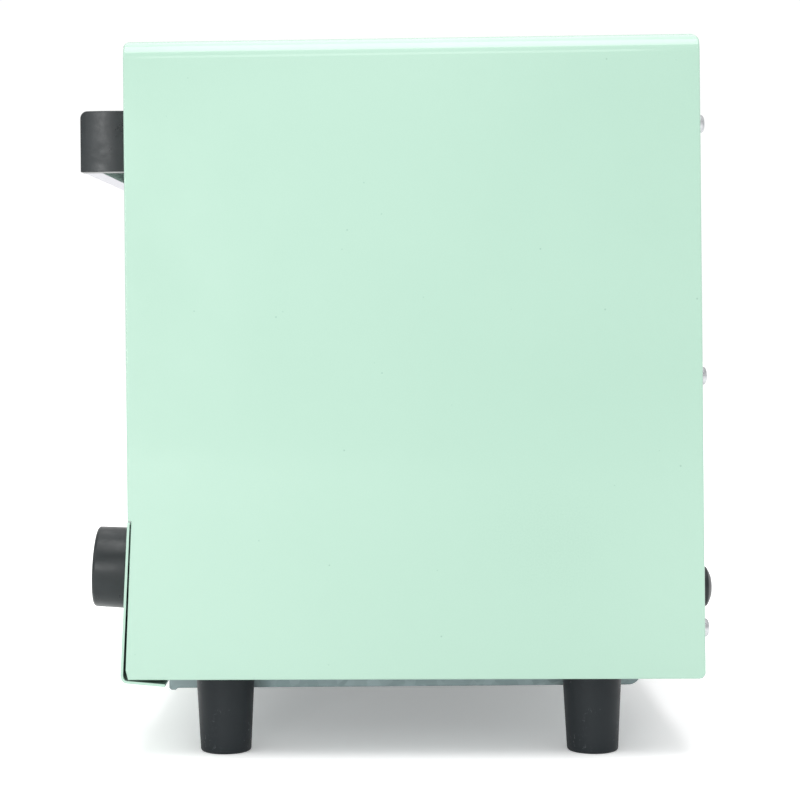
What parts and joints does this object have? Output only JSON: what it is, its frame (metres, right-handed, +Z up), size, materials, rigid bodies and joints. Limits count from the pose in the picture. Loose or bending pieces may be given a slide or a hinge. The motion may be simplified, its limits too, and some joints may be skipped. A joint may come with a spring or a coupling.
{
  "type": "reflow oven",
  "caption": "Small countertop oven for reflow work: mint steel case, drop-down glass door with bar handle, knobs on a leaning panel, wire rack, crumb tray, tall tapered feet.",
  "frame": {"origin": "on the bench, under the middle of the whole object's box, handle and cord gland included", "axes": "+Z up, the door faces -Y, +X to the right of a person facing the door"},
  "size_m": [0.3, 0.2622, 0.2904],
  "materials": {
    "mint_paint": "fine powder coat, satin",
    "galvanised_sheet": "dull zinc-coated sheet",
    "satin_steel": "satin, brushed along its length",
    "zinc_steel": "bright zinc plate",
    "chrome_wire": "bright plate",
    "black_plastic": "fine moulded texture",
    "black_foot": "moulded, slightly scuffed",
    "window_glass": "clear, lightly smoked",
    "heater_tube": "frosted quartz tube with ceramic ends",
    "dark_enamel": "baked enamel on steel",
    "pale_plastic": "moulded",
    "amber_lens": "clear moulded",
    "glass_fibre_sleeve": "braided sleeve"
  },
  "bodies": {
    "housing": {"outer_wrapper": "mint_paint", "control_panel": "mint_paint", "base_pan": "galvanised_sheet", "rear_panel": "galvanised_sheet", "front_frame": "galvanised_sheet", "liner_roof": "galvanised_sheet", "liner_back": "galvanised_sheet", "heat_shield": "galvanised_sheet", "liner_left": "galvanised_sheet", "liner_right": "galvanised_sheet", "rack_rail_left": "galvanised_sheet", "rack_rail_right": "galvanised_sheet", "tray_guide_left": "galvanised_sheet", "tray_guide_right": "galvanised_sheet", "hinge_bracket_left": "zinc_steel", "hinge_bracket_right": "zinc_steel", "foot_screw_front_left": "zinc_steel", "foot_screw_front_right": "zinc_steel", "foot_screw_rear_left": "zinc_steel", "foot_screw_rear_right": "zinc_steel", "rear_screw_upper_left": "zinc_steel", "rear_screw_upper_right": "zinc_steel", "rear_screw_middle_left": "zinc_steel", "rear_screw_middle_right": "zinc_steel", "rear_screw_lower_left": "zinc_steel", "rear_screw_lower_right": "zinc_steel", "foot_front_left": "black_foot", "foot_front_right": "black_foot", "foot_rear_left": "black_foot", "foot_rear_right": "black_foot", "cord_gland": "black_plastic", "heater_upper_front": "heater_tube", "heater_upper_rear": "heater_tube", "heater_lower_front": "heater_tube", "heater_lower_rear": "heater_tube", "thermostat": "pale_plastic", "timer": "pale_plastic", "terminal_block": "pale_plastic", "indicator_lens": "amber_lens", "lead_supply": "glass_fibre_sleeve", "lead_timer_to_thermostat": "glass_fibre_sleeve", "lead_thermostat_to_heaters": "glass_fibre_sleeve", "lead_between_heaters": "glass_fibre_sleeve"},
    "door": {"door_frame": "mint_paint", "door_glass": "window_glass", "glass_retainer": "galvanised_sheet", "handle_bar": "satin_steel", "handle_post_left": "black_plastic", "handle_post_right": "black_plastic", "handle_screw_left": "zinc_steel", "handle_screw_right": "zinc_steel", "hinge_pin_left": "zinc_steel", "hinge_pin_right": "zinc_steel"},
    "temperature_knob": {"temperature_knob": "black_plastic", "thermostat_shaft": "zinc_steel"},
    "timer_knob": {"timer_knob": "black_plastic", "timer_shaft": "zinc_steel"},
    "rack": {"wire_rack": "chrome_wire", "baking_tray": "dark_enamel"},
    "crumb_tray": {"crumb_tray": "galvanised_sheet"}
  },
  "joints": [
    {"name": "door_hinge", "type": "hinge", "parent": "housing", "child": "door", "pos_m": [0, -0.1019, 0.1049], "axis": [1, 0, 0], "range_deg": [0, 90], "stiffness_Nm_per_rad": 0.15, "springref_deg": -57.3},
    {"name": "rack_slide", "type": "slide", "parent": "housing", "child": "rack", "axis": [0, -1, 0], "range_m": [0, 0.062]},
    {"name": "temperature_knob_turn", "type": "hinge", "parent": "housing", "child": "temperature_knob", "pos_m": [-0.108, -0.10968, 0.0734], "axis": [0, 0.9985, -0.0545], "range_deg": [0, 270]},
    {"name": "timer_knob_turn", "type": "hinge", "parent": "housing", "child": "timer_knob", "pos_m": [0.108, -0.10968, 0.0734], "axis": [0, 0.9985, -0.0545], "range_deg": [0, 300]},
    {"name": "crumb_tray_slide", "type": "slide", "parent": "housing", "child": "crumb_tray", "axis": [0, -1, 0], "range_m": [0, 0.19]}
  ],
  "couplings": [
    {"joint": "rack_slide", "follows": "door_hinge", "m_per_rad": 0.038}
  ]
}
